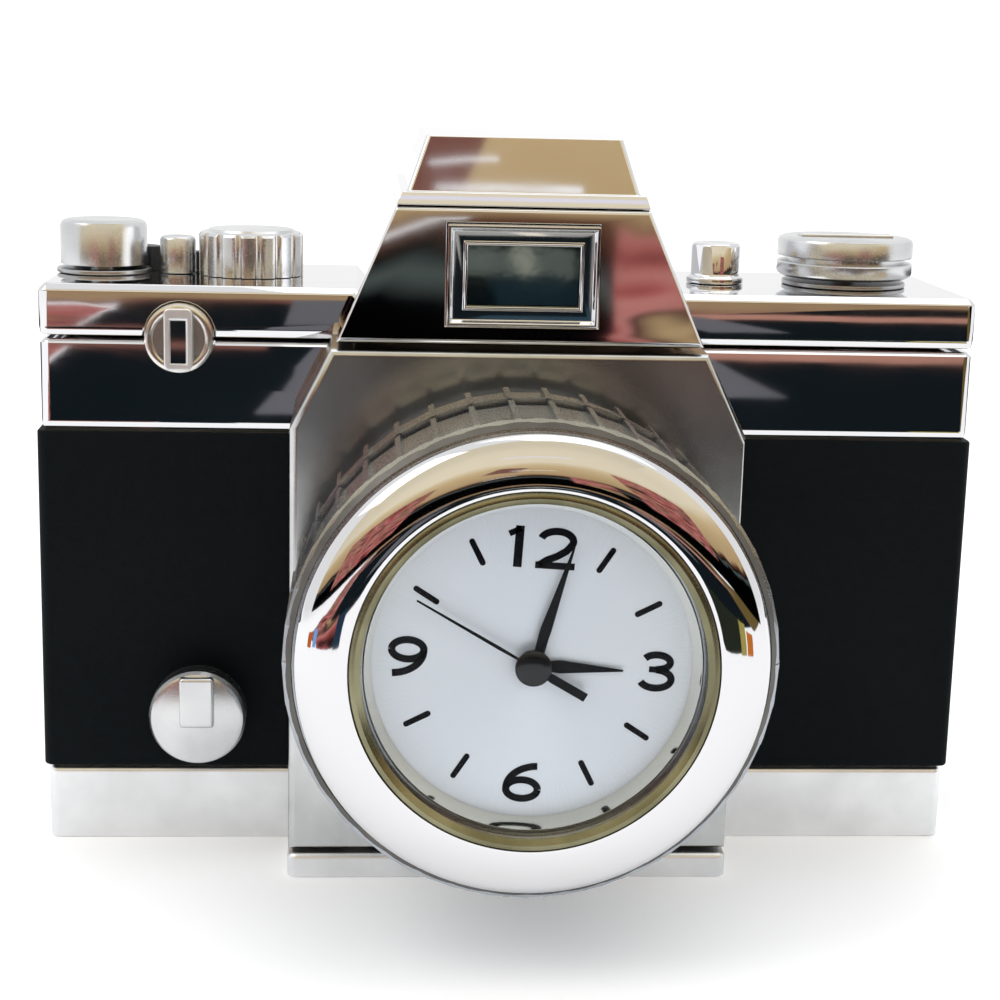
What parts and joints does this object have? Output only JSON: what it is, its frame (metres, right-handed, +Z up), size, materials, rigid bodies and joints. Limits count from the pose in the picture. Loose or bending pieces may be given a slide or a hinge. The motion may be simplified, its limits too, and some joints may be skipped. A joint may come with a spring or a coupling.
{
  "type": "camera-shaped table clock",
  "caption": "Miniature reflex camera in cast metal with leather sides, whose lens holds a quartz clock insert that pulls out forward to set the time.",
  "frame": {"origin": "centre of the overall bounding box in x and y, on the plane of the base", "axes": "+X to the right as the dial is read, +Y to the back of the camera, +Z up; the lens points along -Y"},
  "size_m": [0.0766, 0.0506, 0.0591],
  "materials": {
    "chrome": "polished chrome plate on cast zinc",
    "satin_metal": "satin nickel plate on turned or cast metal",
    "mount_grey": "grey satin plate with bright bevelled edges",
    "base_satin": "light satin plate",
    "door_metal": "black enamelled metal",
    "leather_cloth": "black leather cloth with a faint grain",
    "window_glass": "dark tinted window",
    "crystal_glass": "clear mineral crystal",
    "antique_brass": "olive antique brass",
    "dial_silver": "silver dial with a fine sunburst",
    "dial_wall": "polished inner wall round the dial",
    "hand_black": "black lacquer",
    "rubber": "black rubber",
    "steel": "plain steel",
    "brass": "plain brass",
    "copper_wire": "enamelled copper wire",
    "black_plastic": "black moulded plastic",
    "circuit_green": "green circuit board"
  },
  "bodies": {
    "body": {"body_casting": "chrome", "top_plate": "chrome", "prism_housing": "chrome", "prism_cap": "chrome", "lens_bezel": "chrome", "flash_post": "chrome", "front_disc": "chrome", "window_frame": "chrome", "front_key": "chrome", "lens_barrel": "satin_metal", "aperture_ring": "satin_metal", "focus_ring": "satin_metal", "release_button": "satin_metal", "speed_dial": "satin_metal", "lens_mount_housing": "mount_grey", "bottom_plate": "base_satin", "mount_foot": "base_satin", "back_door": "door_metal", "left_leather": "leather_cloth", "right_leather": "leather_cloth", "back_leather": "leather_cloth", "window_pane": "window_glass", "eyepiece_pane": "window_glass", "eyepiece_frame": "rubber", "barrel_lock_ring": "steel", "body_screw_1": "steel", "body_screw_2": "steel", "body_screw_3": "steel", "body_screw_4": "steel", "advance_collar": "steel", "rewind_collar": "steel", "advance_lever": "black_plastic", "front_knob_base": "black_plastic"},
    "clock_insert": {"insert_case": "steel", "grip_band": "rubber", "insert_ring": "antique_brass", "crystal": "crystal_glass", "dial_wall": "dial_wall", "dial": "dial_silver", "insert_back_cover": "black_plastic", "base_plate": "black_plastic", "button_cell": "steel", "cell_contact": "brass", "coil": "copper_wire", "stator": "steel", "circuit_board": "circuit_green"},
    "minute_hand": {"minute_hand": "hand_black", "cannon_pinion": "brass"},
    "hour_hand": {"hour_hand": "hand_black", "hour_wheel": "brass"},
    "second_hand": {"second_hand": "hand_black"},
    "time_setter": {"setting_wheel": "brass", "setting_knob": "black_plastic"},
    "battery_hatch": {"battery_hatch": "black_plastic"},
    "advance_knob": {"advance_knob": "satin_metal", "advance_clip": "steel"},
    "rewind_knob": {"rewind_knob": "satin_metal", "rewind_clip": "steel"},
    "front_knob": {"front_knob": "satin_metal", "front_knob_clip": "steel"}
  },
  "joints": [
    {"name": "insert_slide", "type": "slide", "parent": "body", "child": "clock_insert", "axis": [0, -1, 0], "range_m": [0, 0.0125]},
    {"name": "minute_turn", "type": "hinge", "parent": "clock_insert", "child": "minute_hand", "pos_m": [0, 0, 0.02333], "axis": [0, 1, 0], "continuous": true},
    {"name": "hour_turn", "type": "hinge", "parent": "clock_insert", "child": "hour_hand", "pos_m": [0, 0, 0.02333], "axis": [0, 1, 0], "continuous": true},
    {"name": "second_turn", "type": "hinge", "parent": "clock_insert", "child": "second_hand", "pos_m": [0, 0, 0.02333], "axis": [0, 1, 0], "continuous": true},
    {"name": "setter_turn", "type": "hinge", "parent": "clock_insert", "child": "time_setter", "pos_m": [-0.00031, 0, 0.01794], "axis": [0, 1, 0], "continuous": true},
    {"name": "hatch_turn", "type": "hinge", "parent": "clock_insert", "child": "battery_hatch", "pos_m": [0.00689, 0, 0.02474], "axis": [0, 1, 0], "range_deg": [0, 60]},
    {"name": "advance_turn", "type": "hinge", "parent": "body", "child": "advance_knob", "pos_m": [-0.03395, 0.01392, 0.047], "axis": [0, 0, 1], "continuous": true},
    {"name": "rewind_turn", "type": "hinge", "parent": "body", "child": "rewind_knob", "pos_m": [0.0291, 0.01392, 0.047], "axis": [0, 0, 1], "continuous": true},
    {"name": "front_knob_turn", "type": "hinge", "parent": "body", "child": "front_knob", "pos_m": [-0.02525, 0, 0.012], "axis": [0, 1, 0], "continuous": true}
  ],
  "couplings": [
    {"joint": "hour_turn", "follows": "minute_turn", "ratio": 0.083333},
    {"joint": "second_turn", "follows": "minute_turn", "ratio": 60},
    {"joint": "setter_turn", "follows": "minute_turn", "ratio": -0.33333}
  ]
}
